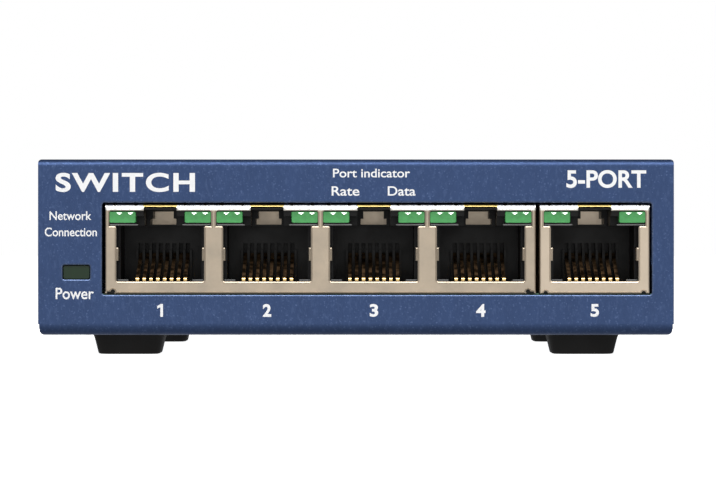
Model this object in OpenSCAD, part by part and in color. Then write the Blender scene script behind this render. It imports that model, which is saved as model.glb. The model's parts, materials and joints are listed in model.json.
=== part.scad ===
// Five-port desktop network switch in a folded sheet-metal case.
// +X points right and -Y points to the front as the ports are faced; +Z is up.
// The origin lies under the centre of the case, on the plane that the feet stand on.

/* [Case] */
// Width of the case
case_w = 94; // [94:0.5:100]
// Depth of the case
case_d = 102; // [102:0.5:110]
// Height of the case above its feet
case_h = 26; // [25.75:0.25:29]
// Thickness of the sheet metal
sheet_t = 0.8; // [0.7:0.05:0.8]
// Outside radius of the bend at the top of the front panel
lip_bend_r = 1.1; // [1:0.1:1.3]
// Outside radius of the bends between the floor and the end panels
floor_bend_r = 1.8; // [1.3:0.1:1.8]
// Depth of the lip folded back from the top of the front panel
lip_d = 6; // [5:0.5:7]

/* [Feet] */
// Height of the rubber feet
foot_h = 3; // [2.5:0.05:4]
// Width of a foot where it meets the case
foot_top_w = 10.8; // [10:0.1:12]
// Width of a foot where it meets the desk
foot_base_w = 9.4; // [8:0.1:9.5]
// Distance between the feet from left to right
foot_span_x = 68; // [64:0.5:70]
// Distance between the feet from front to rear
foot_span_y = 76; // [70:0.5:78]
// Sideways shift of the rear pair, which is stuck on by hand
rear_feet_shift = 0.6; // [0:0.1:1]

/* [Ports] */
// Distance between neighbouring ports of the four-port jack
port_pitch = 15.8; // [15.7:0.05:15.85]
// Sideways place of the first port
first_port_x = -28.95; // [-29.5:0.05:-28.5]
// Sideways place of the separate fifth port
last_port_x = 35.3; // [35.2:0.05:35.6]
// Depth of the jacks from front to back
jack_d = 16; // [15.5:0.25:17]
// Slope of the contact wires at rest
contact_slope = 20; // [16:1:21]

/* [Cooling slots] */
// Number of slots in each side of the cover
slot_count = 14; // [6:1:15]
// Distance between neighbouring slots
slot_pitch = 5; // [4:0.25:5]
// Width of a slot
slot_w = 2; // [1.5:0.1:2.4]

/* [Wall mounting] */
// Distance between the two keyholes in the floor
keyhole_span = 60; // [40:1:62]
// Radius of the round end that a screw head enters
keyhole_r = 4; // [3.5:0.1:4.2]
// Width of the narrow end that holds the screw's shank
keyhole_neck_w = 4.2; // [3.6:0.1:4.4]

/* [Hidden] */
$fn = 48;
e = 0.01;

// Case planes
front_y = -case_d / 2;
rear_y = case_d / 2;
half_w = case_w / 2;
floor_z = foot_h;
top_z = floor_z + case_h;
play = 0.1;
inner_half_w = half_w - sheet_t - play;
inner_bend_r = 0.3;
side_bend_r = 1.1;
flange_h = 6;
relief_h = 1.6;
relief_inset = 0.2;

// Board
board_t = 1.6;
board_top_z = floor_z + 6.15;
board_z = board_top_z - board_t;
board_half_w = 44.4;
board_front_y = front_y + 1.4;
board_rear_y = rear_y - 2;
standoff_x = 38;
standoff_ys = [-14, 34];

// Jacks
ports = [first_port_x, first_port_x + port_pitch, first_port_x + 2 * port_pitch,
         first_port_x + 3 * port_pitch, last_port_x];
gang_ports = [ports[0], ports[1], ports[2], ports[3]];
single_ports = [ports[4]];
jack_side = 8.15;
gang_x = [ports[0] - jack_side, ports[3] + jack_side];
single_x = [ports[4] - jack_side, ports[4] + jack_side];
shield_t = 0.25;
shield_side_r = 0.28;
shield_top_r = 0.8;
housing_gap = 0.03;
gang_relief = [1.15, 0.24];
single_relief = [0.9, 0];
relief_r = 0.33;
jack_y = front_y + 0.1;
jack_back_y = jack_y + jack_d;
jack_z = board_top_z + 0.05;
jack_top_z = jack_z + 13.2;
plug_z = jack_z + 1.7;
plug_top_z = jack_z + 9.9;
window_top_z = jack_z + 12.2;
notch_top_z = jack_z + 12.8;
plug_half_w = 6;
mouth_half_w = 6.4;
mouth_d = 2.5;
frame_half_w = 6.5;
window_half_w = 7.53;
notch_half_w = 2.45;
latch_top_z = jack_z + 12.35;
shoulder_r = 0.3;
led_size = [3.9, 5, 1.65];
led_in = 3.62;
led_z = jack_z + 10.4;

// Contact wires
wire_count = 8;
wire_pitch = 1.016;
wire_w = 0.46;
wire_t = 0.36;
bend_r = 0.45;
bend_y = jack_y + 3.9;
bend_z = plug_z + 0.15;
wire_len = 10.2;
comb_half_w = 4.2;
comb_y = jack_y + 11.6;
comb_top_z = jack_z + 6.4;
cavity_back_y = jack_y + 12.6;
tail_ys = [jack_y + 10.9, jack_y + 13.4];
tail_end_z = board_z - 1.2;
wire_slot_w = 0.64;

// Power light
light_x = -41.35;
light_z = floor_z + 9.3;
light_size = [4.1, 2.2];
light_opening = light_size + [0.36, 0.36];
light_r = 0.5;
light_led_y = front_y + 5.6;

// Rear panel
dc_x = 30;
dc_size = [9, 14.2, 11];
dc_bore_r = 3.2;
dc_bore_d = 9.5;
dc_pin_r = 1;
dc_axis_z = board_top_z + 6.5;
lock_slot = [7, 3];
lock_x = -30;
lock_z = floor_z + 10.65;
case_screw_x = 41.5;
case_screw_z = floor_z + 17.15;
screw_head_r = 2.75;
screw_head_h = 1.4;
screw_r = 1.45;

// Keyholes
keyhole_y = 2;
keyhole_run = 7;

// Board parts
chip_at = [-8, 4];
chip_w = 14;
chip_h = 1;
pad_h = 0.5;
sink_w = 24;
sink_base_h = 1.6;
sink_h = 9;
sink_fins = 8;
magnetics_y = -26;
magnetics_size = [12.6, 8.8, 5.6];

case_blue = [0.235, 0.31, 0.47];
plated = [0.76, 0.72, 0.65];
black_plastic = [0.1, 0.1, 0.1];
gold = [0.86, 0.68, 0.3];
solder_grey = [0.7, 0.71, 0.73];

// ---- Shared shapes ----

// Rectangle from corner a to corner b; r holds the corner radii, anticlockwise from a
module soft_rect(a, b, r) {
    corners = [a, [b.x, a.y], b, [a.x, b.y]];
    inward = [[1, 1], [-1, 1], [-1, -1], [1, -1]];
    polygon([for (i = [0:3])
        let (across = corners[i] + [inward[i].x * r[i], 0], up = corners[i] + [0, inward[i].y * r[i]])
        each (r[i] == 0 ? [corners[i]] : i % 2 == 0 ? [up, across] : [across, up])]);
    for (i = [0:3])
        if (r[i] > 0)
            translate(corners[i] + inward[i] * r[i]) circle(r[i]);
}

// Extrudes a shape drawn in (x, z) from y0 back to y1
module along_y(y0, y1) {
    translate([0, y1, 0]) rotate([90, 0, 0]) linear_extrude(y1 - y0) children();
}

// Extrudes a shape drawn in (y, z) from x0 to x1
module along_x(x0, x1) {
    translate([x0, 0, 0]) rotate([90, 0, 90]) linear_extrude(x1 - x0) children();
}

// Box between two opposite corners
module box(a, b) {
    translate(a) cube(b - a);
}

// Box of the given size standing on a point, centred over it
module standing_box(at, size) {
    translate(at - [size.x / 2, size.y / 2, 0]) cube(size);
}

// ---- Case ----

// The tray's section, drawn in (y, z): front panel, lip, floor and rear panel
module tray_section() {
    r_in = inner_bend_r;
    difference() {
        soft_rect([front_y, floor_z], [rear_y, top_z], [floor_bend_r, floor_bend_r, 0, lip_bend_r]);
        soft_rect([front_y + sheet_t, floor_z + sheet_t], [rear_y - sheet_t, top_z - sheet_t],
            [floor_bend_r - sheet_t, floor_bend_r - sheet_t, 0, r_in]);
        translate([front_y + lip_d, top_z - sheet_t - play]) square([case_d, 2]);
    }
}

// The front panel's outline, drawn in (x, z), with the relief beside its lower bend
module front_outline() {
    soft_rect([-half_w, floor_z + relief_h], [half_w, top_z], [0, 0, 0.5, 0.5]);
    soft_rect([-half_w + relief_inset, floor_z], [half_w - relief_inset, floor_z + relief_h + 1],
        [0.7, 0.7, 0, 0]);
}

// The tray's floor with its two side flanges, drawn in (x, z)
module floor_section() {
    difference() {
        soft_rect([-inner_half_w, floor_z], [inner_half_w, floor_z + flange_h],
            [side_bend_r, side_bend_r, 0, 0]);
        soft_rect([-inner_half_w + sheet_t, floor_z + sheet_t],
            [inner_half_w - sheet_t, floor_z + flange_h + 1], [inner_bend_r, inner_bend_r, 0, 0]);
    }
}

module keyholes(grow) {
    for (side = [-1, 1])
        translate([side * keyhole_span / 2, keyhole_y]) {
            circle(keyhole_r + grow);
            translate([-keyhole_neck_w / 2 - grow, 0]) square([keyhole_neck_w + 2 * grow, keyhole_run]);
            translate([0, keyhole_run]) circle(keyhole_neck_w / 2 + grow);
        }
}

module front_openings() {
    soft_rect([gang_x[0] - 0.64, jack_z - 0.46], [single_x[1] + 0.5, jack_top_z + 0.4],
        [0.6, 0.6, 0.6, 0.6]);
    soft_rect([light_x, light_z] - light_opening / 2, [light_x, light_z] + light_opening / 2,
        [light_r, light_r, light_r, light_r]);
}

module rear_openings() {
    soft_rect([dc_x - dc_size.x / 2 - 0.2, board_top_z - 0.2],
        [dc_x + dc_size.x / 2 + 0.2, board_top_z + dc_size.z + 0.2], [0.5, 0.5, 0.5, 0.5]);
    soft_rect([lock_x - lock_slot.x / 2, lock_z - lock_slot.y / 2],
        [lock_x + lock_slot.x / 2, lock_z + lock_slot.y / 2], [0.6, 0.6, 0.6, 0.6]);
}

// Axis of one case screw, pointing inwards from the rear face
module at_case_screw(side) {
    translate([side * case_screw_x, rear_y, case_screw_z]) rotate([90, 0, 0]) children();
}

module chassis_tray() {
    color(case_blue) difference() {
        union() {
            along_x(-inner_half_w + side_bend_r, inner_half_w - side_bend_r) tray_section();
            intersection() {
                along_x(-half_w, half_w) tray_section();
                along_y(front_y - 1, front_y + floor_bend_r) front_outline();
            }
            along_x(-inner_half_w, inner_half_w) intersection() {
                tray_section();
                union() {
                    translate([front_y + lip_bend_r, top_z - 1]) square([lip_d, 1]);
                    translate([rear_y - sheet_t, floor_z + floor_bend_r]) square([sheet_t, case_h]);
                }
            }
            along_y(front_y + 5, rear_y - 3) floor_section();
            for (side = [-1, 1])
                at_case_screw(side) translate([0, 0, sheet_t / 2]) cylinder(r1 = 3.6, r2 = 2.3, h = 1.6);
        }
        along_y(front_y - 1, front_y + 3) front_openings();
        along_y(rear_y - 3, rear_y + 1) rear_openings();
        translate([0, 0, floor_z - 1]) linear_extrude(sheet_t + 2) keyholes(0);
        for (side = [-1, 1])
            at_case_screw(side) {
                translate([0, 0, -e]) cylinder(r1 = screw_head_r + 0.1, r2 = screw_r + 0.1, h = screw_head_h);
                cylinder(r = screw_r + 0.1, h = 4);
            }
    }
}

// The cover's side seen from the side, drawn in (y, z), cut back around the tray's bends
module cover_side_outline() {
    difference() {
        soft_rect([front_y + sheet_t + play, floor_z + 0.9], [rear_y, top_z], [0.5, 0.5, 0, 0]);
        translate([front_y, top_z - lip_bend_r - play]) square([lip_bend_r + play, 3]);
        translate([front_y, floor_z]) square([floor_bend_r + play, floor_bend_r + play]);
        for (i = [0:slot_count - 1])
            translate([(i - (slot_count - 1) / 2) * slot_pitch, floor_z + 15.5])
                soft_rect([-slot_w / 2, -5.5], [slot_w / 2, 5.5], [1, 1, 1, 1] * slot_w / 2);
    }
}

// The cover seen from the front, drawn in (x, z)
module cover_section() {
    difference() {
        soft_rect([-half_w, floor_z], [half_w, top_z], [0, 0, side_bend_r, side_bend_r]);
        soft_rect([-half_w + sheet_t, floor_z - 1], [half_w - sheet_t, top_z - sheet_t],
            [0, 0, inner_bend_r, inner_bend_r]);
    }
}

module top_cover() {
    tab_y = rear_y - 2.9;
    color(case_blue) {
        difference() {
            union() {
                intersection() {
                    along_y(front_y, rear_y) cover_section();
                    along_x(-half_w, half_w) cover_side_outline();
                }
                for (side = [-1, 1]) {
                    box([side * 25 - 6, front_y + 3.5, top_z - 2 * sheet_t - 0.05],
                        [side * 25 + 6, front_y + lip_d + 3, top_z - sheet_t - 0.05]);
                    box([side * 25 - 6, front_y + lip_d + 0.8, top_z - 2 * sheet_t - 0.05],
                        [side * 25 + 6, front_y + lip_d + 3, top_z - sheet_t / 2]);
                    translate([side * (half_w - sheet_t / 2 - 5), tab_y, case_screw_z])
                        cube([10, sheet_t, 9], center = true);
                }
            }
            box([-inner_half_w - play, front_y, top_z - sheet_t - 0.05],
                [inner_half_w + play, front_y + lip_d + 0.3, top_z + 1]);
            for (side = [-1, 1])
                at_case_screw(side) cylinder(r = screw_r + 0.05, h = 5);
        }
    }
}

module cross_recess(size, depth) {
    for (turn = [0, 90])
        rotate(turn) translate([0, 0, depth / 2]) cube([size, size / 5, depth + 2 * e], center = true);
}

module cover_screws() {
    color(case_blue * 0.6)
        for (side = [-1, 1])
            at_case_screw(side) difference() {
                union() {
                    cylinder(r1 = screw_head_r, r2 = screw_r, h = screw_head_h);
                    cylinder(r = screw_r, h = 6);
                }
                translate([0, 0, -e]) cross_recess(3, 1);
            }
}

// ---- Feet ----

// Tapered square foot with a flared neck: each layer is [height, half width]
module foot(side, end) {
    top = foot_top_w / 2;
    base = foot_base_w / 2;
    layers = [[0, base - 0.25], [0.1, base - 0.06], [0.4, base],
              [foot_h * 0.88, base + (top - base) * 0.75], [foot_h, top]];
    color([0.11, 0.105, 0.1])
        translate([side * foot_span_x / 2 + (end > 0 ? rear_feet_shift : 0), end * foot_span_y / 2 - 1, 0])
            for (i = [0:len(layers) - 2])
                hull()
                    for (layer = [layers[i], layers[i + 1]])
                        for (x = [-1, 1], y = [-1, 1])
                            translate([x, y, 0] * (layer[1] - 1.4) + [0, 0, min(layer[0], foot_h - e)])
                                cylinder(r = 1.4, h = e, $fn = 32);
}

// ---- Board ----

module board_holes() {
    for (x = [-standoff_x, standoff_x], y = standoff_ys)
        translate([x, y]) circle(1.6);
    for (port = ports, i = [0:wire_count - 1])
        translate([wire_x(port, i), tail_ys[i % 2]]) circle(0.42, $fn = 24);
    for (x = [gang_x[0], (gang_x[1] + single_x[0]) / 2, single_x[1]], y = shield_leg_ys)
        translate([x, y]) square([1.8, 2.2], center = true);
    for (place = dc_tails)
        translate(place) circle(1, $fn = 24);
}

module pcb() {
    color([0.05, 0.3, 0.15])
        translate([0, 0, board_z]) linear_extrude(board_t) difference() {
            soft_rect([-board_half_w, board_front_y], [board_half_w, board_rear_y], [1, 1, 1, 1]);
            board_holes();
        }
}

module insulator_sheet() {
    color([0.85, 0.85, 0.8])
        translate([0, 0, floor_z + sheet_t]) linear_extrude(0.25) difference() {
            soft_rect([-42, front_y + 7], [42, rear_y - 7], [2, 2, 2, 2]);
            keyholes(0.8);
            for (x = [-standoff_x, standoff_x], y = standoff_ys)
                translate([x, y]) circle(3.2);
        }
}

module board_standoffs() {
    color(solder_grey)
        for (x = [-standoff_x, standoff_x], y = standoff_ys)
            translate([x, y, floor_z + sheet_t]) difference() {
                cylinder(r = 2.9, h = board_z - floor_z - sheet_t, $fn = 6);
                translate([0, 0, 0.5]) cylinder(r = 1.25, h = 5);
            }
}

module board_screws() {
    color(solder_grey)
        for (x = [-standoff_x, standoff_x], y = standoff_ys)
            translate([x, y, board_top_z]) difference() {
                union() {
                    cylinder(r = 2.7, h = 1.7);
                    translate([0, 0, -4.4]) cylinder(r = 1.2, h = 5);
                }
                translate([0, 0, 0.8]) cross_recess(3, 1);
            }
}

// ---- Jacks ----

shield_leg_ys = [jack_y + 6, jack_y + 12.5];
function wire_x(port, i) = port + (i - (wire_count - 1) / 2) * wire_pitch;

// One port's opening in the shield's front, drawn in (x, z)
module port_window() {
    soft_rect([-frame_half_w, plug_z], [frame_half_w, plug_top_z + 1], [0.3, 0.3, 0, 0]);
    soft_rect([-window_half_w, plug_top_z], [window_half_w, window_top_z], [0, 0, 0.3, 0.3]);
    soft_rect([-notch_half_w, window_top_z - 1], [notch_half_w, notch_top_z], [0, 0, 0.2, 0.2]);
    for (side = [-1, 1])
        difference() {
            translate([side * (frame_half_w + shoulder_r / 2), plug_top_z - shoulder_r / 2])
                square(shoulder_r, center = true);
            translate([side * (frame_half_w + shoulder_r), plug_top_z - shoulder_r]) circle(shoulder_r);
        }
}

// Closed block with the shield's bends, shrunk on all sides but its underside
module shield_block(x, shrink) {
    r = max(0, shield_side_r - shrink);
    intersection() {
        translate([0, 0, jack_z - (shrink > 0 ? 1 : 0)]) linear_extrude(20)
            soft_rect([x[0] + shrink, jack_y + shrink], [x[1] - shrink, jack_back_y - shrink], [r, r, r, r]);
        along_x(x[0] - 1, x[1] + 1)
            soft_rect([jack_y + shrink, jack_z - 1], [jack_back_y - shrink, jack_top_z - shrink],
                [0, 0, r, shield_top_r - shrink]);
    }
}

// relief = how far in from each end the bend relief is, and how much higher the corner beyond it ends
module jack_shield(x, jack_ports, relief) {
    color(plated) {
        difference() {
            shield_block(x, 0);
            shield_block(x, shield_t);
            for (port = jack_ports) {
                along_y(jack_y - 1, jack_y + 1) translate([port, 0]) port_window();
                along_y(jack_y - 1, jack_y + 1.6)
                    for (side = [-1, 1], place = [3.65, 6.7])
                        translate([port + side * place, jack_top_z]) circle(0.3, $fn = 24);
            }
            for (end = [0, 1])
                along_y(jack_y - 1, jack_y + 0.6) translate([x[end], jack_z + relief[1]]) mirror([end, 0]) {
                    translate([relief[0], 0]) circle(relief_r, $fn = 24);
                    translate([-1, -1]) square([1 + relief[0], 1]);
                }
        }
        for (port = jack_ports, side = [-1, 1])
            translate([port + side * 6.33, 0, 0])
                box([-0.13, jack_y + 0.05, plug_z + 3.1], [0.13, jack_y + 3, plug_z + 5]);
        for (port = jack_ports, side = [-1, 1])
            translate([port + side * 6.45, 0, 0])
                box([-0.25, jack_y + 0.02, plug_z + 3.1], [0.25, jack_y + shield_t, plug_z + 5]);
        for (side = [0, 1], y = shield_leg_ys)
            translate([x[side] + (side == 0 ? 0 : -shield_t), y - 0.8, board_z - 1])
                cube([shield_t, 1.6, jack_z - board_z + 2]);
    }
}

module jack_housing(x, jack_ports) {
    y0 = jack_y + shield_t + housing_gap;
    y1 = jack_back_y - shield_t - housing_gap;
    color(black_plastic) difference() {
        intersection() {
            shield_block(x, shield_t + housing_gap);
            box([x[0], jack_y, board_top_z], [x[1], jack_back_y, jack_top_z]);
        }
        for (port = jack_ports) translate([port, 0, 0]) {
            // Plug's space, the latch's channel and the window behind it
            box([-mouth_half_w, y0 - 1, plug_z], [mouth_half_w, jack_y + mouth_d, plug_top_z + 0.1]);
            box([-plug_half_w, y0 - 1, plug_z], [plug_half_w, comb_y, plug_top_z + 0.1]);
            box([-plug_half_w, comb_y - e, comb_top_z], [plug_half_w, cavity_back_y, plug_top_z + 0.1]);
            for (side = [-1, 1])
                translate([side * (plug_half_w + comb_half_w) / 2, 0, 0])
                    box([-(plug_half_w - comb_half_w) / 2, comb_y - e, plug_z],
                        [(plug_half_w - comb_half_w) / 2, cavity_back_y, comb_top_z + e]);
            box([-notch_half_w, y0 - 1, plug_top_z - 1], [notch_half_w, jack_y + 9.5, latch_top_z]);
            box([-1.55, jack_y, plug_top_z + 0.3], [1.55, y1 + 1, plug_top_z + 2.3]);
            box([-1.95, jack_y, plug_top_z + 0.3], [1.95, y1 + 1, plug_top_z + 1.2]);
            // Trough for the wires' lower legs, and the comb's slots
            box([-comb_half_w, bend_y - 0.8, bend_z - 0.8], [comb_half_w, jack_y + 14, plug_z + e]);
            for (i = [0:wire_count - 1])
                translate([wire_x(0, i), 0, 0]) {
                    box([-wire_slot_w / 2, comb_y - 1, plug_z - e],
                        [wire_slot_w / 2, jack_y + 14.2, comb_top_z + 1]);
                    box([-0.32, tail_ys[i % 2] - 0.3, board_top_z - 1], [0.32, tail_ys[i % 2] + 0.3, bend_z]);
                }
            // Lamp pockets and the hollows for the shield's side springs
            for (side = [-1, 1]) {
                translate([side * (led_in + led_size.x / 2), 0, 0])
                    box([-led_size.x / 2 - 0.03, y0 - 1, led_z - 0.03],
                        [led_size.x / 2 + 0.03, jack_y + 0.15 + led_size.y, led_z + led_size.z + 0.03]);
                translate([side * (notch_half_w + led_in) / 2, 0, 0])
                    box([-(led_in - notch_half_w) / 2 - e, y0 - 1, plug_top_z],
                        [(led_in - notch_half_w) / 2 + e, jack_y + 3, led_z + 1]);
                translate([side * 6.3, 0, 0])
                    box([-0.55, y0 - 1, plug_z + 3], [0.55, jack_y + 3.2, plug_z + 5.1]);
            }
        }
    }
}

module gang_jack_shield() {
    jack_shield(gang_x, gang_ports, gang_relief);
}

module gang_jack_housing() {
    jack_housing(gang_x, gang_ports);
}

module single_jack_shield() {
    jack_shield(single_x, single_ports, single_relief);
}

module single_jack_housing() {
    jack_housing(single_x, single_ports);
}

// A wire's front bend and its sprung upper leg, drawn in (y, z) about the bend's centre
module contact_section() {
    intersection() {
        difference() {
            circle(bend_r + wire_t / 2, $fn = 32);
            circle(bend_r - wire_t / 2, $fn = 32);
        }
        polygon([[0, -2], [-2, -2], [-2, 2], [-2 * sin(contact_slope), 2 * cos(contact_slope)], [0, 0]]);
    }
    rotate(contact_slope) translate([0, bend_r - wire_t / 2]) square([wire_len, wire_t]);
}

module port_contacts(i) {
    color(gold)
        for (k = [0:wire_count - 1])
            translate([wire_x(ports[i - 1], k), bend_y, bend_z])
                along_x(-wire_w / 2, wire_w / 2) contact_section();
}

// The wires' fixed lower legs, which run back along the housing's floor and down through the board
module port_pins(i) {
    color(gold)
        for (k = [0:wire_count - 1])
            translate([wire_x(ports[i - 1], k), 0, 0]) {
                box([-wire_w / 2, bend_y + 0.02, bend_z - bend_r - wire_t / 2],
                    [wire_w / 2, tail_ys[k % 2] + wire_t / 2, bend_z - bend_r + wire_t / 2]);
                box([-wire_w / 2, tail_ys[k % 2] - wire_t / 2, tail_end_z],
                    [wire_w / 2, tail_ys[k % 2] + wire_t / 2, bend_z - bend_r]);
            }
}

module port_leds(i) {
    color([0.38, 0.64, 0.42])
        for (side = [-1, 1])
            translate([ports[i - 1] + side * (led_in + led_size.x / 2), jack_y + 0.03, led_z])
                along_y(0, led_size.y)
                    soft_rect([-led_size.x / 2, 0], [led_size.x / 2, led_size.z], [0.2, 0.2, 0.2, 0.2]);
}

// ---- Power light ----

module power_light_pipe() {
    half = light_size / 2 - [0.1, 0.1];
    color([0.18, 0.3, 0.2]) {
        along_y(front_y + 0.35, light_led_y)
            translate([light_x, light_z])
                soft_rect(-half, half, [0.3, 0.3, 0.3, 0.3]);
        standing_box([light_x, light_led_y - 1, board_top_z], [3, 1.6, light_z - board_top_z]);
    }
}

module power_led() {
    color([0.75, 0.85, 0.75]) {
        standing_box([light_x, light_led_y + 2.3, board_top_z], [3.6, 3.4, light_z - board_top_z]);
        translate([light_x, light_led_y + 4, light_z]) rotate([90, 0, 0]) cylinder(r = 1.5, h = 3.9);
    }
}

// ---- Power inlet ----

dc_tails = [[dc_x, rear_y - dc_size.y + 0.6], [dc_x, rear_y - 8]];

module dc_jack_housing() {
    color(black_plastic) difference() {
        along_y(rear_y - dc_size.y, rear_y)
            soft_rect([dc_x - dc_size.x / 2, board_top_z], [dc_x + dc_size.x / 2, board_top_z + dc_size.z],
                [0.4, 0.4, 2, 2]);
        translate([dc_x, rear_y + e, dc_axis_z]) rotate([90, 0, 0]) {
            cylinder(r = dc_bore_r, h = dc_bore_d);
            cylinder(r = dc_pin_r + 0.02, h = dc_size.y + 1);
        }
        box([dc_x - 1.3, rear_y - dc_bore_d, dc_axis_z - dc_bore_r - 0.8],
            [dc_x + 1.3, rear_y - 1.5, dc_axis_z]);
        box([dc_x - 0.9, rear_y - 8.4, board_top_z - 1], [dc_x + 0.9, rear_y - 7.6, dc_axis_z]);
        box([dc_x - 1.1, rear_y - dc_size.y - 1, board_top_z - 1],
            [dc_x + 1.1, rear_y - dc_size.y + 1.1, dc_axis_z + 1.2]);
    }
}

module dc_jack_pin() {
    color(solder_grey) {
        translate([dc_x, rear_y - 2, dc_axis_z]) {
            rotate([90, 0, 0]) cylinder(r = dc_pin_r, h = dc_size.y - 2.5);
            sphere(r = dc_pin_r);
        }
        box([dc_x - 0.9, rear_y - dc_size.y + 0.3, board_z - 1.4],
            [dc_x + 0.9, rear_y - dc_size.y + 0.9, dc_axis_z + 1]);
    }
}

module dc_jack_spring() {
    leaf_z = dc_axis_z - dc_bore_r - 0.5;
    color(solder_grey) {
        box([dc_x - 1.1, rear_y - dc_bore_d + 0.3, leaf_z], [dc_x + 1.1, rear_y - 2, leaf_z + 0.3]);
        box([dc_x - 0.7, rear_y - 8.15, board_z - 1.4], [dc_x + 0.7, rear_y - 7.85, leaf_z + 0.1]);
    }
}

// ---- Parts on the board ----

module switch_chip() {
    color([0.12, 0.12, 0.13])
        standing_box([chip_at.x, chip_at.y, board_top_z], [chip_w, chip_w, chip_h]);
}

module thermal_pad() {
    color([0.6, 0.62, 0.7])
        standing_box([chip_at.x, chip_at.y, board_top_z + chip_h], [chip_w - 1, chip_w - 1, pad_h]);
}

module heat_sink() {
    base_z = board_top_z + chip_h + pad_h;
    fin_pitch = (sink_w - 1) / (sink_fins - 1);
    color([0.72, 0.73, 0.75]) {
        standing_box([chip_at.x, chip_at.y, base_z], [sink_w, sink_w, sink_base_h]);
        for (i = [0:sink_fins - 1])
            standing_box([chip_at.x + (i - (sink_fins - 1) / 2) * fin_pitch, chip_at.y, base_z],
                [1, sink_w, sink_h]);
    }
}

module magnetics(i) {
    color([0.13, 0.13, 0.14]) {
        standing_box([ports[i - 1], magnetics_y, board_top_z + 0.2], magnetics_size);
        for (side = [-1, 1], k = [0:5])
            standing_box([ports[i - 1] + (k - 2.5) * 1.9, magnetics_y + side * 4.9, board_top_z],
                [0.6, 1.8, 1.2]);
    }
}

module crystal() {
    color(solder_grey)
        translate([-27.5, 10, board_top_z]) linear_extrude(3.5)
            soft_rect([-5, -2.2], [5, 2.2], [2.2, 2.2, 2.2, 2.2] * 0.99);
}

module inductor() {
    color([0.25, 0.25, 0.26])
        translate([14, 26, board_top_z]) linear_extrude(4.2)
            soft_rect([-3.6, -3.6], [3.6, 3.6], [1.2, 1.2, 1.2, 1.2]);
}

module capacitors() {
    color([0.25, 0.28, 0.4])
        for (place = [[16, 41, 4, 11], [5, 41, 4, 11], [-6, 40, 3.15, 8], [25, 22, 3.15, 8]])
            translate([place[0], place[1], board_top_z]) cylinder(r = place[2], h = place[3]);
}

module regulator_chip() {
    color([0.12, 0.12, 0.13]) {
        standing_box([26, 9, board_top_z + 0.1], [3.9, 4.9, 1.5]);
        for (side = [-1, 1], k = [0:3])
            standing_box([26 + side * 2.4, 9 + (k - 1.5) * 1.27, board_top_z], [1.2, 0.42, 0.8]);
    }
}

module memory_chip() {
    color([0.12, 0.12, 0.13]) {
        standing_box([-26, 24, board_top_z + 0.1], [3.9, 4.9, 1.5]);
        for (side = [-1, 1], k = [0:3])
            standing_box([-26 + side * 2.4, 24 + (k - 1.5) * 1.27, board_top_z], [1.2, 0.42, 0.8]);
    }
}

// Chip resistors and capacitors in rows around the controller and the power supply
module chip_parts() {
    color([0.62, 0.52, 0.4]) {
        for (k = [0:9])
            standing_box([-23 + k * 3.2, -13, board_top_z], [1, 2, 0.6]);
        for (k = [0:5])
            standing_box([14 + k * 2.8, 2, board_top_z], [1.25, 2, 0.9]);
        for (k = [0:4])
            standing_box([-37, 2 + k * 3, board_top_z], [2, 1.25, 0.8]);
    }
}

module rating_label() {
    color([0.85, 0.85, 0.86])
        translate([0, -22, floor_z - 0.1]) linear_extrude(0.1)
            soft_rect([-22, -11], [22, 11], [1, 1, 1, 1]);
}

chassis_tray();
top_cover();
cover_screws();
foot(-1, -1);  // foot_front_left
foot(1, -1);  // foot_front_right
foot(-1, 1);  // foot_rear_left
foot(1, 1);  // foot_rear_right
pcb();
insulator_sheet();
board_standoffs();
board_screws();
gang_jack_shield();
gang_jack_housing();
single_jack_shield();
single_jack_housing();
for (i = [1:5]) {
    port_contacts(i);
    port_pins(i);
    port_leds(i);
    magnetics(i);
}
power_light_pipe();
power_led();
dc_jack_housing();
dc_jack_pin();
dc_jack_spring();
switch_chip();
thermal_pad();
heat_sink();
crystal();
inductor();
capacitors();
regulator_chip();
memory_chip();
chip_parts();
rating_label();
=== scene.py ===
import json
import math

import bmesh
import bpy
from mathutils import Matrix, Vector


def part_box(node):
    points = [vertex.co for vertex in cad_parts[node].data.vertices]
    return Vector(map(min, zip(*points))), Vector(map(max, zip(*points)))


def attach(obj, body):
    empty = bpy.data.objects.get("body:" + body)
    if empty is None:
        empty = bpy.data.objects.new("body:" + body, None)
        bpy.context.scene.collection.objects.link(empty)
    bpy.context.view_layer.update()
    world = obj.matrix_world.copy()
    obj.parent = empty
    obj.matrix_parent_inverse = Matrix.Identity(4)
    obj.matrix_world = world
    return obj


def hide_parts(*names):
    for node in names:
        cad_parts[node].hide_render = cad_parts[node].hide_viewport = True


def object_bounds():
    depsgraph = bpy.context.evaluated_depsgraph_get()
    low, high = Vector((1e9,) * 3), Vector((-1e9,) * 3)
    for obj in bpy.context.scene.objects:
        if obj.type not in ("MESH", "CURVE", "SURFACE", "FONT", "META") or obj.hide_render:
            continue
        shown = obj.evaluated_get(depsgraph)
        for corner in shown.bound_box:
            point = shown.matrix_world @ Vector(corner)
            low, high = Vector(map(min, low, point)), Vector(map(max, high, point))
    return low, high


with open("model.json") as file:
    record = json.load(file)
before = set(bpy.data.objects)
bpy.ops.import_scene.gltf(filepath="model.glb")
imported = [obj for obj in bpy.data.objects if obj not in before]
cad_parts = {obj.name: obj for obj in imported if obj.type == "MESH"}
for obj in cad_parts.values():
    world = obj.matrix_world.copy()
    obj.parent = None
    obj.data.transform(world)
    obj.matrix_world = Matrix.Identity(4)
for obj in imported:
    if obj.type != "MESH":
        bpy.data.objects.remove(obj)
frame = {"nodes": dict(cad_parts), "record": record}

CAD_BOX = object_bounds()
MM = 0.001
CASE = "case"
PORTS = (1, 2, 3, 4, 5)
PANEL_Y = CAD_BOX[0].y
SHIELD_LOW, SHIELD_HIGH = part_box("gang_jack_shield")
LENS_LOW, LENS_HIGH = (corner.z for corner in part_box("port_1_leds"))
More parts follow.
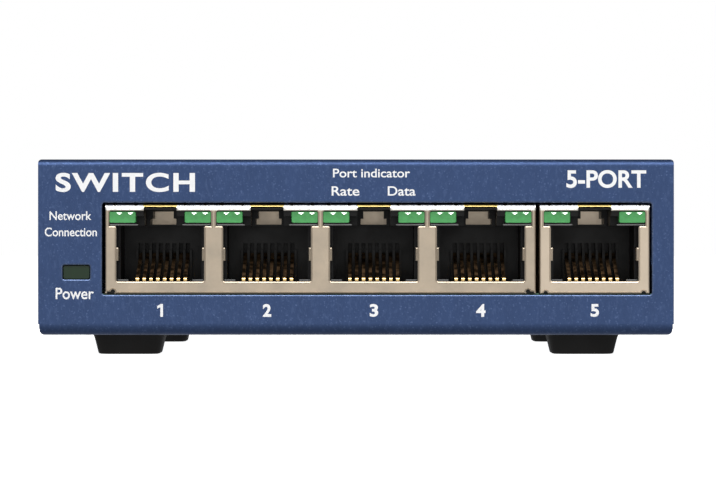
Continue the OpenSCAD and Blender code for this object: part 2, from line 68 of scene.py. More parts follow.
PORT_CENTRES = {port: sum(corner.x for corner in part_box(f"port_{port}_leds")) / 2 for port in PORTS}


# ---- Shader helpers ----

class Shader:
    """A new material with one Principled shader, and short calls that add and join nodes."""

    def __init__(self, name, **settings):
        self.material = bpy.data.materials.new(name)
        self.material.use_nodes = True
        self.nodes = self.material.node_tree.nodes
        self.links = self.material.node_tree.links
        self.surface = self.nodes["Principled BSDF"]
        for socket, value in settings.items():
            self.surface.inputs[socket.replace("_", " ")].default_value = value
        self.place = self.nodes.new("ShaderNodeTexCoord").outputs["Object"]

    def add(self, kind, inputs=None, **settings):
        node = self.nodes.new(kind)
        for key, value in settings.items():
            setattr(node, key, value)
        for key, value in (inputs or {}).items():
            self.feed(node.inputs[key], value)
        return node

    def feed(self, socket, value):
        if isinstance(value, bpy.types.NodeSocket):
            self.links.new(value, socket)
        else:
            socket.default_value = value

    def axes(self):
        """The X, Y and Z sockets of a point on the surface, in metres."""
        return self.add("ShaderNodeSeparateXYZ", {"Vector": self.place}).outputs

    def stretched(self, scale, turn=(0.0, 0.0, 0.0)):
        mapping = self.add("ShaderNodeMapping", {"Vector": self.place, "Scale": scale,
                                                 "Rotation": [math.radians(angle) for angle in turn]})
        return mapping.outputs["Vector"]

    def noise(self, per_metre, detail=3.0, roughness=0.55, at=None):
        node = self.add("ShaderNodeTexNoise", {"Vector": at or self.place, "Scale": per_metre,
                                               "Detail": detail, "Roughness": roughness})
        return node.outputs["Fac"]

    def cells(self, per_metre, output="Color", feature="F1"):
        node = self.add("ShaderNodeTexVoronoi", {"Vector": self.place, "Scale": per_metre}, feature=feature)
        return node.outputs[output]

    def between(self, value, low, high, out_low=0.0, out_high=1.0):
        """Changes evenly from out_low to out_high while a value goes from low to high."""
        node = self.add("ShaderNodeMapRange", {"Value": value, "From Min": low, "From Max": high,
                                               "To Min": out_low, "To Max": out_high})
        return node.outputs["Result"]

    def vary(self, pattern, out_low, out_high):
        """Spreads a noise pattern, which mostly stays from 0.3 to 0.7, over a range."""
        return self.between(pattern, 0.3, 0.7, out_low, out_high)

    def band(self, value, low, high, soft):
        """1 where a value lies between low and high, 0 elsewhere, with soft edges outside them."""
        return self.math("MULTIPLY", self.between(value, low - soft, low),
                         self.between(value, high, high + soft, 1.0, 0.0))

    def mix(self, factor, a, b):
        node = self.add("ShaderNodeMix", data_type="RGBA")
        self.feed(node.inputs["Factor"], factor)
        self.feed(node.inputs["A"], a)
        self.feed(node.inputs["B"], b)
        return node.outputs["Result"]

    def math(self, operation, a, b=0.0):
        node = self.add("ShaderNodeMath", operation=operation)
        self.feed(node.inputs[0], a)
        self.feed(node.inputs[1], b)
        return node.outputs["Value"]

    def bump(self, height, depth, strength):
        node = self.add("ShaderNodeBump", {"Height": height, "Distance": depth, "Strength": strength})
        return node.outputs["Normal"]

    def finish(self, **sockets):
        for socket, value in sockets.items():
            self.feed(self.surface.inputs[socket.replace("_", " ")], value)
        return self.material


def rgb(r, g, b):
    return (r, g, b, 1.0)


def toned(colour, strength):
    """A colour made lighter or darker."""
    return rgb(*[part * strength for part in colour])


# ---- Materials ----

def powder_coat(name, base, flake, metallic, roughness):
    """Powder coat with a fine leathery wrinkle that runs aslant, and metal flake in it; its wrinkle crests
    get a painted highlight.
    """
    s = Shader(name, Metallic=metallic, Coat_Weight=0.04, Coat_Roughness=0.25)
    aslant = s.stretched((1.0, 1.0, 0.42), (0.0, 40.0, 0.0))
    wrinkle = s.noise(2300.0, 3.0, 0.6, at=aslant)
    fine = s.noise(4200.0, 2.0, 0.6)
    mottle = s.noise(420.0, 3.0, 0.6, at=aslant)
    specks = s.add("ShaderNodeSeparateColor", {"Color": s.cells(5200.0)}).outputs
    # Painted highlight: the wrinkle crests are mixed a little towards the flake colour.
    crest_highlight = s.math("MULTIPLY", s.between(wrinkle, 0.52, 0.68), 0.07)
    sparkle = s.math("MULTIPLY", s.between(specks["Red"], 0.93, 1.0), 0.17)
    shade = s.mix(s.between(mottle, 0.32, 0.68), toned(base, 0.95), toned(base, 1.05))
    colour = s.mix(sparkle, s.mix(crest_highlight, shade, rgb(*flake)), rgb(*flake))
    relief = s.math("ADD", s.math("MULTIPLY", fine, 0.45), wrinkle)
    return s.finish(Base_Color=colour,
                    Roughness=s.between(specks["Blue"], 0.0, 1.0, roughness - 0.06, roughness + 0.06),
                    Normal=s.bump(relief, 0.00008, 0.5))


GANG_END = SHIELD_HIGH.x + 0.2 * MM         # beyond it is the fifth jack, whose shield is fresher
FRONT_END = SHIELD_LOW.y + 1.2 * MM         # how far back the tones of the shields' front reach
BAR_Z = SHIELD_HIGH.z - 1.0 * MM            # above it the shields' front is painted near white, a painted highlight
FOLD_Z = SHIELD_HIGH.z - 0.45 * MM          # above it the fold is yellowed over each latch
LATCH_HALF = 2.5 * MM
SLOT_END = SHIELD_LOW.y + 1.6 * MM          # rear ends of the short slots in the shields' top, where a dark line is painted as shade
SLOT_END_HALF = 0.02 * MM
REAR_WALL_GLOW = 0.2                        # stands for daylight that comes in through the jacks
REAR_WALL = (SHIELD_HIGH.y - 0.3 * MM, SHIELD_HIGH.y - 0.2 * MM)


def over_latches(s, across):
    """1 over the latch of each port, 0 elsewhere."""
    total = 0.0
    for centre in PORT_CENTRES.values():
        away = s.math("ABSOLUTE", s.math("SUBTRACT", across, centre))
        total = s.math("ADD", total, s.math("LESS_THAN", away, LATCH_HALF))
    return total


def plated_sheet(name):
    """Plated sheet as it comes off the roll: satin, faintly stained, yellowed along its upper fold, with a
    painted highlight on the bar along its top and painted shade where its slots end.
    """
    s = Shader(name, Metallic=1.0)
    rolled = s.noise(5200.0, 3.0, at=s.stretched((0.12, 1.0, 1.0)))
    stains = s.noise(260.0, 3.0)
    pits = s.noise(2400.0, 2.0)
    place = s.axes()
    fresh = s.mix(s.between(stains, 0.35, 0.7), rgb(0.63, 0.53, 0.415), rgb(0.59, 0.50, 0.39))
    dulled = s.mix(s.vary(stains, 0.0, 1.0), rgb(0.54, 0.45, 0.345), rgb(0.44, 0.375, 0.295))
    sheet = s.mix(s.between(place["X"], GANG_END, GANG_END + 0.1 * MM, 1.0, 0.0), fresh, dulled)
    front = s.between(place["Y"], FRONT_END, FRONT_END + 0.3 * MM, 1.0, 0.0)
    # Painted highlight: the bar along the top of the shields' front is painted near white.
    bar = s.math("MULTIPLY", s.between(place["Z"], BAR_Z, BAR_Z + 0.1 * MM), front)
    fold = s.math("MULTIPLY", s.math("GREATER_THAN", place["Z"], FOLD_Z), over_latches(s, place["X"]))
    highlighted_bar = s.mix(bar, sheet, rgb(1.0, 0.98, 0.93))
    yellowed = s.mix(s.math("MULTIPLY", fold, front), highlighted_bar, rgb(0.93, 0.70, 0.25))
    # Painted shade: a thin near-black band across the sheet where the slots end.
    slot_end_shade = s.band(place["Y"], SLOT_END - SLOT_END_HALF, SLOT_END + SLOT_END_HALF, 0.02 * MM)
    rear_wall = s.band(place["Y"], *REAR_WALL, 0.1 * MM)
    return s.finish(Base_Color=s.mix(slot_end_shade, yellowed, rgb(0.02, 0.018, 0.015)),
                    Emission_Color=sheet, Emission_Strength=s.math("MULTIPLY", rear_wall, REAR_WALL_GLOW),
                    Roughness=s.between(pits, 0.3, 0.75, 0.36, 0.46),
                    Normal=s.bump(s.math("ADD", rolled, pits), 0.000004, 0.4))


def moulded(name, colour, roughness, grain=4200.0, depth=0.000012, specular=0.5):
    """Moulded plastic or resin with a fine tool grain and uneven gloss."""
    s = Shader(name, Specular_IOR_Level=specular)
    broad = s.noise(grain / 12, 2.0)
    return s.finish(Base_Color=s.mix(s.vary(broad, 0.0, 1.0), rgb(*colour), toned(colour, 1.25)),
                    Roughness=s.vary(broad, roughness - 0.05, roughness + 0.06),
                    Normal=s.bump(s.noise(grain, 2.0), depth, 0.6))


def metal(name, colour, roughness, scratch=0.15):
    """Drawn or turned metal with fine lines and uneven polish."""
    s = Shader(name, Metallic=1.0)
    lines = s.noise(6000.0, 2.0, at=s.stretched((1.0, scratch, 1.0)))
    smudge = s.noise(700.0, 2.0)
    return s.finish(Base_Color=s.mix(s.vary(smudge, 0.0, 1.0), rgb(*colour), toned(colour, 0.86)),
                    Roughness=s.vary(smudge, roughness - 0.05, roughness + 0.07),
                    Normal=s.bump(lines, 0.000006, 0.5))


LEG_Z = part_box("port_1_contacts")[0].z + 0.9 * MM          # where the wires' upper legs begin
LEG_GLOW = 0.6


def contact_plating(name):
    """Gold-plated wire, whose upper legs glow faintly brown, which stands for light caught between them."""
    s = Shader(name, Metallic=1.0)
    lines = s.noise(6000.0, 2.0, at=s.stretched((1.0, 0.15, 1.0)))
    patches = s.noise(700.0, 2.0)
    height = s.axes()["Z"]
    fading = s.between(height, LEG_Z + 1.2 * MM, LEG_Z + 2.7 * MM, 1.0, 0.12)
    patchy = s.math("MULTIPLY", s.between(patches, 0.4, 0.62, 0.1, 1.0), fading)
    legs = s.math("MULTIPLY", s.between(height, LEG_Z, LEG_Z + 0.6 * MM), patchy)
    gold = s.mix(s.vary(patches, 0.0, 1.0), rgb(0.95, 0.66, 0.27), rgb(0.84, 0.57, 0.23))
    return s.finish(Base_Color=gold, Roughness=s.vary(patches, 0.11, 0.23),
                    Emission_Color=rgb(0.115, 0.068, 0.036),
                    Emission_Strength=s.math("MULTIPLY", legs, LEG_GLOW),
                    Normal=s.bump(lines, 0.000006, 0.5))


def lens(name, colour, glow, roughness=0.16, coat=0.12):
    """Tinted clear plastic, clouded inside and lighter towards its bottom; glow adds a faint painted glow,
    though no lamp is lit in it.
    """
    s = Shader(name, Coat_Weight=coat, Coat_Roughness=0.06, Specular_IOR_Level=0.35, Emission_Strength=glow)
    cloud = s.noise(1500.0, 2.0)
    depth = s.between(s.axes()["Z"], LENS_LOW, LENS_HIGH, 1.0, 0.0)
    lit = s.math("ADD", s.math("MULTIPLY", depth, 0.6), s.vary(cloud, 0.0, 0.4))
    return s.finish(Base_Color=s.mix(lit, toned(colour, 0.7), toned(colour, 1.2)),
                    Emission_Color=rgb(*colour),
                    Roughness=s.vary(cloud, roughness, roughness + 0.08),
                    Normal=s.bump(cloud, 0.00001, 0.4))


def circuit_board(name):
    """Green solder mask with a pattern of tracks under it."""
    s = Shader(name, Coat_Weight=0.3, Coat_Roughness=0.2)
    track = s.between(s.cells(330.0, "Distance", "DISTANCE_TO_EDGE"), 0.02, 0.05, 1.0, 0.0)
    weave = s.noise(3000.0, 2.0)
    return s.finish(Base_Color=s.mix(track, rgb(0.012, 0.11, 0.045), rgb(0.03, 0.2, 0.08)),
                    Roughness=s.vary(weave, 0.3, 0.45),
                    Normal=s.bump(s.math("ADD", track, s.math("MULTIPLY", weave, 0.3)), 0.00003, 0.6))


def ink(name):
    """White screen-printed ink."""
    s = Shader(name, Roughness=0.5)
    cover = s.noise(3500.0, 2.0)
    return s.finish(Base_Color=s.mix(s.vary(cover, 0.0, 1.0), rgb(0.84, 0.85, 0.86), rgb(0.90, 0.90, 0.90)),
                    Normal=s.bump(cover, 0.000008, 0.5))


MATERIAL_TABLE = {
    "case_paint": (powder_coat, (0.0395, 0.0725, 0.174), (0.24, 0.35, 0.64), 0.75, 0.43),
    "screw_paint": (powder_coat, (0.02, 0.035, 0.08), (0.1, 0.15, 0.3), 0.6, 0.4),
    # A lighter, glossier copy of the case paint for the rims of the cut edges: a painted highlight along
    # them.
    "paint_edge": (powder_coat, (0.085, 0.125, 0.235), (0.55, 0.62, 0.8), 0.85, 0.32),
    "foot_rubber": (moulded, (0.008, 0.0075, 0.007), 0.75, 2600.0, 0.00003, 0.3),
    "board_laminate": (circuit_board,),
    "insulator_film": (moulded, (0.6, 0.6, 0.55), 0.4),
    "bright_steel": (metal, (0.62, 0.63, 0.65), 0.28),
    "jack_plating": (plated_sheet,),
    "jack_plastic": (moulded, (0.0035, 0.0033, 0.0033), 0.4, 4200.0, 0.000012, 0.22),
    # A lighter copy of the jack plastic for the ledges: a painted highlight where they catch the light.
    "jack_ledge": (moulded, (0.02, 0.019, 0.019), 0.34),
    "contact_gold": (contact_plating,),
    # Painted light: the port lenses glow faintly green, though their LEDs are not lit.
    "port_led": (lens, (0.062, 0.31, 0.088), 0.04),
    "light_pipe": (lens, (0.006, 0.022, 0.007), 0.0, 0.3, 0.0),
    "led_body": (lens, (0.5, 0.65, 0.5), 0.0),
    "lens_facet": (metal, (0.78, 0.95, 0.8), 0.3),
    "inlet_plastic": (moulded, (0.012, 0.012, 0.012), 0.5),
    "chip_resin": (moulded, (0.014, 0.014, 0.015), 0.6, 2200.0, 0.00003),
    "thermal_pad": (moulded, (0.3, 0.33, 0.42), 0.8),
    "sink_aluminium": (metal, (0.7, 0.71, 0.72), 0.35, 0.05),
    "ferrite": (moulded, (0.05, 0.05, 0.052), 0.7, 1600.0, 0.00005),
    "capacitor_sleeve": (moulded, (0.03, 0.04, 0.09), 0.35),
    "ceramic": (moulded, (0.33, 0.22, 0.12), 0.55),
    "label_film": (moulded, (0.62, 0.62, 0.63), 0.45),
    "print": (ink,),
}
MATERIALS = {name: make(name, *values) for name, (make, *values) in MATERIAL_TABLE.items()}


# ---- Mesh helpers ----

WELD = 0.002 * MM          # points of a CAD mesh that are closer than this are one point


def new_piece(name, build, body, slot, material=None, smooth_angle=35.0):
    """A mesh piece filled in by build(bm), riding on a body."""
    bm = bmesh.new()
    build(bm)
    bmesh.ops.recalc_face_normals(bm, faces=bm.faces)
    mesh = bpy.data.meshes.new(name)
    bm.to_mesh(mesh)
    bm.free()
    piece = bpy.data.objects.new(name, mesh)
    bpy.context.scene.collection.objects.link(piece)
    mesh.materials.append(MATERIALS[material or slot])
    mesh.shade_smooth()
    mesh.set_sharp_from_angle(angle=math.radians(smooth_angle))
    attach(piece, body)
    return piece


def body_of_node(node):
    return next(body for body, members in frame["record"]["behaviour"]["bodies"].items() if node in members)


def slot_of_node(node):
    return next(row["material_slot"] for row in frame["record"]["subparts"] if row["node"] == node)


def round_edges(piece, width, segments=2, above=40.0):
    """Rounds every edge sharper than an angle and keeps the flat faces flat in shading."""
    bevel = piece.modifiers.new("edge", "BEVEL")
    bevel.width = width
    bevel.segments = segments
    bevel.limit_method = "ANGLE"
    bevel.angle_limit = math.radians(above)
    bevel.use_clamp_overlap = False
    flat = piece.modifiers.new("flat", "WEIGHTED_NORMAL")
    flat.weight = 100
    flat.keep_sharp = True


def softened(node, edge):
    """A copy of a CAD node with every sharp edge rounded, as pressed sheet and mouldings have them."""
    def build(bm):
        bm.from_mesh(frame["nodes"][node].data)
        bmesh.ops.remove_doubles(bm, verts=bm.verts, dist=WELD)
        bmesh.ops.dissolve_limit(bm, angle_limit=math.radians(0.6), verts=bm.verts, edges=bm.edges)
        bmesh.ops.dissolve_degenerate(bm, edges=bm.edges, dist=WELD / 2)
    piece = new_piece(node + "_finished", build, body_of_node(node), slot_of_node(node), smooth_angle=60.0)
    round_edges(piece, edge)
    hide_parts(node)


def rounded_ring(half_x, half_y, radius, steps=6):
    """Points round a rounded rectangle, anticlockwise, centred on the origin."""
    ring = []
    for quarter, (sx, sy) in enumerate(((1, -1), (1, 1), (-1, 1), (-1, -1))):
        for k in range(steps + 1):
            turn = math.radians(-90 + 90 * quarter + 90 * k / steps)
            ring.append((sx * (half_x - radius) + radius * math.cos(turn),
                         sy * (half_y - radius) + radius * math.sin(turn)))
    return ring


def loft(bm, rings):
    """Joins closed rings of points with quads and closes both ends."""
    loops = [[bm.verts.new(p) for p in ring] for ring in rings]
    for low, high in zip(loops, loops[1:]):
        for k in range(len(low)):
            bm.faces.new((low[k], low[k - 1], high[k - 1], high[k]))
    bm.faces.new(loops[0])
    bm.faces.new(list(reversed(loops[-1])))


# ---- Rounded edges of the inner parts, the inlet and the screws ----

EDGE_WIDTHS = {
    "cover_screws": 0.06 * MM,
    "power_light_pipe": 0.06 * MM,
    "dc_jack_housing": 0.15 * MM,
    "pcb": 0.08 * MM,
    "heat_sink": 0.12 * MM,
    "thermal_pad": 0.1 * MM,
    "switch_chip": 0.08 * MM,
    "regulator_chip": 0.06 * MM,
    "memory_chip": 0.06 * MM,
    "inductor": 0.1 * MM,
    "crystal": 0.2 * MM,
    "capacitors": 0.1 * MM,
    **{f"magnetics_{port}": 0.07 * MM for port in PORTS},
}


# ---- Feet ----

FOOT_SOLE = 9.4 / 10.8                                      # width of the sole as a part of the neck's
FOOT_CORNER = 1.5 * MM
SOLE_EDGE = ((0.0, 0.45), (0.06, 0.2), (0.2, 0.06), (0.45, 0.0))      # height and inset, in mm
FOOT_STEPS = 8
FOOT_FLARE, FOOT_FLARE_POWER = 0.15, 6                      # the part of the taper that is left to the neck


def make_foot(node):
    """Rubber foot: a tapered square with a flared neck and a rounded sole."""
    low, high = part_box(node)
    centre = (low + high) / 2
    neck = (high.x - low.x) / 2
    sole = neck * FOOT_SOLE
    profile = [(up * MM, sole - inset * MM) for up, inset in SOLE_EDGE]
    start = profile[-1][0]
    for k in range(1, FOOT_STEPS + 1):
        rise = k / FOOT_STEPS
        flare = (1 - FOOT_FLARE) * rise + FOOT_FLARE * rise ** FOOT_FLARE_POWER
        profile.append((start + (high.z - low.z - start) * rise, sole + (neck - sole) * flare))

    def build(bm):
        loft(bm, [[(centre.x + x, centre.y + y, low.z + up)
                   for x, y in rounded_ring(half, half, FOOT_CORNER)] for up, half in profile])
    piece = new_piece(node + "_rubber", build, body_of_node(node), "foot_rubber")
    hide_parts(node)


# ---- Bright edges of the panel's opening and of the shields ----

RIM_TOLERANCE = 0.03 * MM
RIM_REACH = CAD_BOX[1].x - 1.0 * MM         # the case's own outline stays as it is
COINED_EDGE = ((0.0, 0.0), (0.17, -0.085), (0.21, 0.0))      # distance onto the sheet and back, in mm
ROUNDED_EDGE = ((0.0, 0.0), (-0.08, 0.02), (-0.17, 0.07), (-0.2, 0.13), (-0.2, 0.4), (0.0, 0.4))
RIMS = {
    "chassis_tray": (PANEL_Y, ROUNDED_EDGE, "paint_edge"),
    "gang_jack_shield": (SHIELD_LOW.y, COINED_EDGE, "jack_plating"),
    "single_jack_shield": (SHIELD_LOW.y, COINED_EDGE, "jack_plating"),
}


def is_front_corner(vert, plane_y):
    return abs(vert.co.y - plane_y) <= RIM_TOLERANCE and abs(vert.co.x) <= RIM_REACH


def front_edges(bm, plane_y):
    """The cut edges in a sheet's front plane, each with the direction that leads onto the sheet."""
    edges = {}
    for edge in bm.edges:
        if len(edge.link_faces) != 2 or not all(is_front_corner(vert, plane_y) for vert in edge.verts):
            continue
        front = [face for face in edge.link_faces if face.normal.y < -0.99]
        if len(front) == 1 and edge.calc_face_angle() > math.radians(40):
            start = edge.verts[0].co
            inward = (edge.verts[1].co - start).normalized().cross(Vector((0.0, 1.0, 0.0)))
            towards_sheet = inward.dot(front[0].calc_center_median() - start) > 0
            edges[edge] = inward if towards_sheet else -inward
    return edges


def rim(node, plane_y, profile, material):
    """Edging along all cut edges of a sheet's front."""
    bm = bmesh.new()
    bm.from_mesh(frame["nodes"][node].data)
    bmesh.ops.remove_doubles(bm, verts=bm.verts, dist=WELD)
    bm.normal_update()
    edges = front_edges(bm, plane_y)

    def section(out, vert):
        """The profile's points at a corner, mitred where two edges meet."""
        sides = [edges[edge] for edge in vert.link_edges if edge in edges]
        inward = sum(sides, Vector())
        if len(sides) == 2 and inward.length > 0.3:
            inward = inward / (1.0 + sides[0].dot(sides[1]))
        return [out.verts.new(vert.co + inward * onto * MM + Vector((0.0, back * MM, 0.0)))
                for onto, back in profile]

    def build(out):
        sections = {vert: section(out, vert) for vert in {vert for edge in edges for vert in edge.verts}}
        for edge in edges:
            first, second = (sections[vert] for vert in edge.verts)
            for k in range(len(profile)):
                out.faces.new((first[k - 1], first[k], second[k], second[k - 1]))
    new_piece(node + "_rim", build, body_of_node(node), slot_of_node(node), material, 20.0)
    bm.free()


# ---- Lenses and moulded ledges of the ports ----

LENS_WIDTH = 3.9 * MM
LENS_CORNER = 0.2 * MM
LENS_EDGE, LENS_EDGE_SCALE = 0.1 * MM, 0.96                 # depth of the front's taper, and its size there
FACET_HALF, FACET_DROP, FACET_OUT = 0.44 * MM, 0.32 * MM, 0.115 * MM
FACET_TOP = 0.14 * MM                                       # below the lens's top
FACET_FOOT = 0.02 * MM                                      # below the facet's tip
FACET_PLACES = {"left": (0.38, 0.8), "right": (0.36, 0.78)}     # across each lens, as parts of its width


def make_lenses(node):
    """A port's two lenses: clear blocks, each with two small bright facets at the upper front edge."""
    low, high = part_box(node)
    lefts = {"left": low.x, "right": high.x - LENS_WIDTH}
    half, half_tall = LENS_WIDTH / 2, (high.z - low.z) / 2
    outline = rounded_ring(half, half_tall, LENS_CORNER, 3)
    depths = ((low.y, LENS_EDGE_SCALE), (low.y + LENS_EDGE, 1.0), (high.y, 1.0))
    top = high.z - FACET_TOP

    def build(bm):
        for left in lefts.values():
            loft(bm, [[(left + half + x * scale, y, low.z + half_tall + z * scale) for x, z in outline]
                      for y, scale in depths])

    def build_facets(bm):
        for side, places in FACET_PLACES.items():
            for place in places:
                x = lefts[side] + place * LENS_WIDTH
                wings = [bm.verts.new((x + offset, low.y, top)) for offset in (FACET_HALF, -FACET_HALF)]
                tip = bm.verts.new((x, low.y - FACET_OUT, top - FACET_DROP))
                foot = bm.verts.new((x, low.y, top - FACET_DROP - FACET_FOOT))
                for corners in ((wings[0], wings[1], tip), (wings[0], tip, foot),
                                (wings[1], foot, tip), (wings[0], foot, wings[1])):
                    bm.faces.new(corners)
    piece = new_piece(node + "_lenses", build, body_of_node(node), slot_of_node(node), smooth_angle=20.0)
    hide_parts(node)
    new_piece(node + "_facets", build_facets, body_of_node(node), slot_of_node(node), "lens_facet", 10.0)


# Ledges: inner and outer distance from the port's middle, distance of the top below the lenses, height,
# front and rear distance behind the shield's front, and chamfer, all in mm
SILL = (3.3, 7.4, 0.2, 0.22, 0.08, 1.2, 0.14)
STEP = (4.75, 6.35, 8.38, 0.32, 0.7, 2.4, 0.15)


def chamfered_bar(bm, low, high, chamfer):
    """A bar between two corners, with its upper front edge cut away at an angle."""
    (x0, y0, z0), (x1, y1, z1) = low, high
    section = ((y0, z0), (y1, z0), (y1, z1), (y0 + chamfer * 0.5, z1), (y0, z1 - chamfer))
    loft(bm, [[(x, y, z) for y, z in section] for x in (x0, x1)])


def make_ledges(port):
    """Moulded ledges of a port: a sill under each lens, and a step beside the wires on the floor, in a
    lighter copy of the jack plastic as a painted highlight.
    """
    def build(bm):
        for side in (-1, 1):
            for ledge in (SILL, STEP):
                inner, outer, drop, height, front, rear, chamfer = (value * MM for value in ledge)
                left, right = sorted((PORT_CENTRES[port] + side * inner, PORT_CENTRES[port] + side * outer))
                top = LENS_LOW - drop
                chamfered_bar(bm, (left, SHIELD_LOW.y + front, top - height),
                              (right, SHIELD_LOW.y + rear, top), chamfer)
    new_piece(f"port_{port}_ledges", build, CASE, "jack_plastic", "jack_ledge", 20.0)


# ---- Printed legends ----

PRINT_PROUD = 0.012 * MM
PRINT_SKIRT = 0.85                         # how high the print's edge stands, as a part of that
FLAG_OF_ONE = ((0.02, 0.0, 0), (-0.06, -0.05, 0), (-0.19, -0.12, 0), (-0.19, -0.24, 1), (0.02, -0.13, 1))
LEGENDS = (          # name, text, left, right, bottom and top in mm, weight, letter spacing
    ("kind", "SWITCH", -44.4, -23.8, 24.15, 27.0, 0.03, 1.15),
    ("size", "5-PORT", 31.1, 42.9, 24.75, 27.4, 0.025, 1.0),
    ("both_lights", "Port indicator", -3.4, 8.0, 26.3, 27.6, 0.012, 1.0),
    ("left_light", "Rate", -3.6, 0.5, 23.6, 25.0, 0.012, 1.0),
    ("right_light", "Data", 4.7, 8.8, 23.6, 25.0, 0.012, 1.0),
    ("upper_note", "Network", -45.3, -39.1, 20.0, 21.3, 0.012, 1.0),
    ("lower_note", "Connection", -46.0, -38.3, 17.6, 18.9, 0.012, 1.0),
    ("power", "Power", -44.4, -38.75, 8.3, 10.0, 0.012, 1.0),
)
DIGIT_BOTTOM, DIGIT_TOP, DIGIT_WEIGHT = 5.7, 7.6, 0.035
DIGIT_WIDTHS = {1: 0.85, 2: 1.25, 3: 1.25, 4: 1.4, 5: 1.25}


def add_flag(bm, weight):
    """The slanting flag of a figure one, against the left side of its stem."""
    stem = min(vert.co.x for vert in bm.verts)
    top = max(vert.co.y for vert in bm.verts)
    corners = [(stem + x, top + y - thicker * weight, 0.0) for x, y, thicker in FLAG_OF_ONE]
    bm.faces.new([bm.verts.new(corner) for corner in reversed(corners)])


def lettering(name, text, weight, spacing):
    """The front of a text thickened by a bevel, as a flat mesh whose thin edge lies below z = weight / 2."""
    curve = bpy.data.curves.new(name, "FONT")
    curve.body = text
    curve.size = 1.0
    curve.space_character = spacing
    curve.bevel_depth = weight
    curve.bevel_resolution = 0
    source = bpy.data.objects.new(name, curve)
    bpy.context.scene.collection.objects.link(source)
    bpy.context.view_layer.update()
    mesh = bpy.data.meshes.new_from_object(source.evaluated_get(bpy.context.evaluated_depsgraph_get()))
    bpy.data.objects.remove(source)
    bm = bmesh.new()
    bm.from_mesh(mesh)
    bmesh.ops.delete(bm, geom=[face for face in bm.faces if face.normal.z < 0.01], context="FACES")
    if text == "1":
        add_flag(bm, weight)
    bm.to_mesh(mesh)
    bm.free()
    return mesh


def legend(name, text, left, right, bottom, top, weight, spacing=1.0):
    """Printed lettering that fills a box on the front panel, in millimetres."""
    mesh = lettering(name, text, weight, spacing)
    xs = [vert.co.x for vert in mesh.vertices]
    ys = [vert.co.y for vert in mesh.vertices]
    scale_x = (right - left) * MM / (max(xs) - min(xs))
    scale_z = (top - bottom) * MM / (max(ys) - min(ys))
    for vert in mesh.vertices:
        proud = PRINT_PROUD * (1.0 if vert.co.z > 0.5 * weight else PRINT_SKIRT)
        vert.co = Vector(((vert.co.x - min(xs)) * scale_x + left * MM, PANEL_Y - proud,
                          (vert.co.y - min(ys)) * scale_z + bottom * MM))
    mesh.shade_flat()
    mesh.materials.clear()
    mesh.materials.append(MATERIALS["print"])
    printed = bpy.data.objects.new(name, mesh)
    bpy.context.scene.collection.objects.link(printed)
    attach(printed, CASE)


# ---- The object ----

for node_name, node_object in frame["nodes"].items():
    node_object.data.materials.clear()
    node_object.data.materials.append(MATERIALS[slot_of_node(node_name)])

for cad_node, edge_width in EDGE_WIDTHS.items():
    softened(cad_node, edge_width)
for cad_node, (front_plane, edging, edge_material) in RIMS.items():
    rim(cad_node, front_plane, edging, edge_material)
for end in ("front", "rear"):
    for side in ("left", "right"):
        make_foot(f"foot_{end}_{side}")
for legend_name, *legend_values in LEGENDS:
    legend("legend_" + legend_name, *legend_values)
for port in PORTS:
    make_lenses(f"port_{port}_leds")
    make_ledges(port)
    middle, half_digit = PORT_CENTRES[port] / MM, DIGIT_WIDTHS[port] / 2
    legend(f"legend_port_{port}", str(port), middle - half_digit, middle + half_digit,
           DIGIT_BOTTOM, DIGIT_TOP, DIGIT_WEIGHT)


# ---- Studio ----

CAMERA_PLACE = (0.0003, -0.629, 0.0161)
FOCAL_MM, SENSOR_MM = 196.6, 36.0
FLOOR_RADIUS = 6.0
FLOOR_DROP = 0.02 * MM                     # keeps the floor clear of the soles
SKY = ((0.01, 0.45), (0.25, 0.8), (0.42, 0.85), (0.5, 0.6),      # height, brightness
       (0.65, 0.42), (0.85, 0.2), (0.99, 0.12))
SKY_STRENGTH = 0.8
SOFTBOXES = {        # place, target, size, power
    "overhead": ((0.0, -0.62, 0.78), (0.0, 0.0, 0.0), (1.4, 0.45), 11.0),
    "front": ((0.0, -1.5, 0.1), (0.0, 0.0, 0.01), (1.4, 1.0), 3.0),
}


def make_camera():
    data = bpy.data.cameras.new("camera")
    data.lens = FOCAL_MM
    data.sensor_width = SENSOR_MM
    data.clip_start, data.clip_end = 0.01, 50.0
    camera = bpy.data.objects.new("camera", data)
    camera.location = CAMERA_PLACE
    camera.rotation_euler = (math.radians(90), 0.0, 0.0)
    bpy.context.scene.collection.objects.link(camera)
    bpy.context.scene.camera = camera


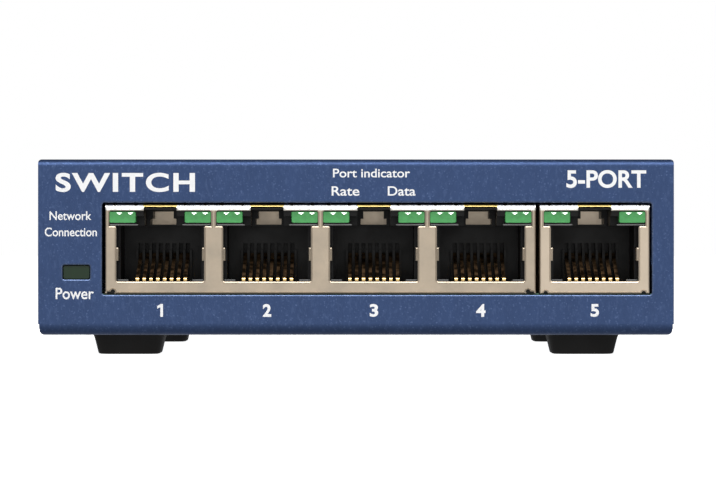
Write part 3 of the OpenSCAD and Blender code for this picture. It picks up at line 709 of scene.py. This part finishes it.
def make_floor():
    """Plain white floor that the camera sees and that throws no light back on the object."""
    bm = bmesh.new()
    bmesh.ops.create_circle(bm, cap_ends=True, segments=96, radius=FLOOR_RADIUS)
    mesh = bpy.data.meshes.new("floor")
    bm.to_mesh(mesh)
    bm.free()
    floor = bpy.data.objects.new("floor", mesh)
    floor.location.z = -FLOOR_DROP
    bpy.context.scene.collection.objects.link(floor)
    white = Shader("floor_white", Roughness=0.9, Emission_Strength=1.0)
    mesh.materials.append(white.finish(Base_Color=rgb(0.85, 0.85, 0.85), Emission_Color=rgb(1.0, 1.0, 1.0)))
    floor.visible_glossy = False
    floor.visible_diffuse = False


def make_world():
    """Soft light from above and in front, dark from below; the camera sees plain white."""
    world = bpy.data.worlds.new("studio")
    bpy.context.scene.world = world
    world.use_nodes = True
    nodes, links = world.node_tree.nodes, world.node_tree.links
    lit = nodes["Background"]
    place = nodes.new("ShaderNodeTexCoord")
    split = nodes.new("ShaderNodeSeparateXYZ")
    rise = nodes.new("ShaderNodeMapRange")
    ramp = nodes.new("ShaderNodeValToRGB")
    rise.inputs["From Min"].default_value = -1.0
    stops = ramp.color_ramp.elements
    for height, grey in SKY:
        stops.new(height).color = rgb(grey, grey, grey)
    stops.remove(stops[0])
    stops.remove(stops[-1])
    lit.inputs["Strength"].default_value = SKY_STRENGTH
    seen = nodes.new("ShaderNodeBackground")
    seen.inputs["Color"].default_value = rgb(1.0, 1.0, 1.0)
    path = nodes.new("ShaderNodeLightPath")
    choose = nodes.new("ShaderNodeMixShader")
    for source, socket in ((place.outputs["Generated"], split.inputs[0]),
                           (split.outputs["Z"], rise.inputs["Value"]),
                           (rise.outputs["Result"], ramp.inputs["Fac"]),
                           (ramp.outputs["Color"], lit.inputs["Color"]),
                           (path.outputs["Is Camera Ray"], choose.inputs["Fac"]),
                           (lit.outputs[0], choose.inputs[1]),
                           (seen.outputs[0], choose.inputs[2]),
                           (choose.outputs[0], nodes["World Output"].inputs["Surface"])):
        links.new(source, socket)


def softbox(name, place, target, size, power):
    data = bpy.data.lights.new(name, "AREA")
    data.shape = "RECTANGLE"
    data.size, data.size_y = size
    data.energy = power
    lamp = bpy.data.objects.new(name, data)
    lamp.location = place
    lamp.rotation_mode = "QUATERNION"
    lamp.rotation_quaternion = (Vector(target) - Vector(place)).to_track_quat("-Z", "Y")
    bpy.context.scene.collection.objects.link(lamp)


make_camera()
make_floor()
make_world()
for softbox_name, softbox_values in SOFTBOXES.items():
    softbox(softbox_name, *softbox_values)
bpy.context.scene.view_settings.view_transform = "Standard"
